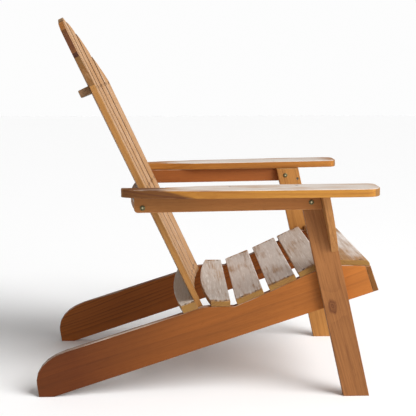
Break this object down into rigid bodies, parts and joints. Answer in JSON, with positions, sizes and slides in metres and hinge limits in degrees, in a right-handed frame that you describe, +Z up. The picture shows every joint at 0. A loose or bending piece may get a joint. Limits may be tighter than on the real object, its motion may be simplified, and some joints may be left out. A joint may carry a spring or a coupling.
{
  "type": "adirondack chair",
  "caption": "Low slatted garden armchair in oiled hardwood with a reclined fan back, broad flat armrests on brackets and sloping side rails that form the rear feet.",
  "frame": {"origin": "on the ground at the centre of the chair's plan outline", "axes": "+Z up, the chair faces -Y, +X is the sitter's left; the chair is mirror-symmetric about the plane X = 0"},
  "size_m": [0.731, 0.88, 0.9721],
  "materials": {
    "honey_wood": "oiled hardwood, honey brown, satin",
    "red_wood": "oiled hardwood, red brown, satin",
    "pale_wood": "lightly sun-bleached hardwood, dull satin",
    "weathered_wood": "weathered hardwood, pale grey-beige, matte",
    "aged_brass": "aged, dull satin",
    "dark_steel": "dark, dull"
  },
  "bodies": {
    "root": {"arm_bracket_left": "honey_wood", "arm_bracket_right": "honey_wood", "arm_front_bolt_left": "aged_brass", "arm_front_bolt_right": "aged_brass", "arm_front_nut_left": "aged_brass", "arm_front_nut_right": "aged_brass", "arm_rail_left": "red_wood", "arm_rail_right": "red_wood", "arm_rear_barrel_nut_left": "dark_steel", "arm_rear_barrel_nut_right": "dark_steel", "arm_rear_bolt_left": "aged_brass", "arm_rear_bolt_right": "aged_brass", "armrest_left": "honey_wood", "armrest_right": "honey_wood", "back_slat_1": "pale_wood", "back_slat_2": "pale_wood", "back_slat_3": "pale_wood", "back_slat_4": "pale_wood", "back_slat_5": "pale_wood", "back_slat_6": "pale_wood", "back_slat_7": "pale_wood", "bracket_screw_lower_left": "dark_steel", "bracket_screw_lower_right": "dark_steel", "bracket_screw_upper_left": "dark_steel", "bracket_screw_upper_right": "dark_steel", "front_apron": "red_wood", "front_leg_left": "honey_wood", "front_leg_right": "honey_wood", "leg_bolt_lower_left": "aged_brass", "leg_bolt_lower_right": "aged_brass", "leg_bolt_upper_left": "aged_brass", "leg_bolt_upper_right": "aged_brass", "leg_insert_lower_left": "dark_steel", "leg_insert_lower_right": "dark_steel", "leg_insert_upper_left": "dark_steel", "leg_insert_upper_right": "dark_steel", "lower_back_rail": "weathered_wood", "middle_back_rail": "honey_wood", "seat_slat_1": "weathered_wood", "seat_slat_2": "weathered_wood", "seat_slat_3": "weathered_wood", "seat_slat_4": "weathered_wood", "seat_slat_5": "weathered_wood", "side_rail_left": "red_wood", "side_rail_right": "red_wood", "upper_back_rail": "red_wood"}
  },
  "joints": []
}
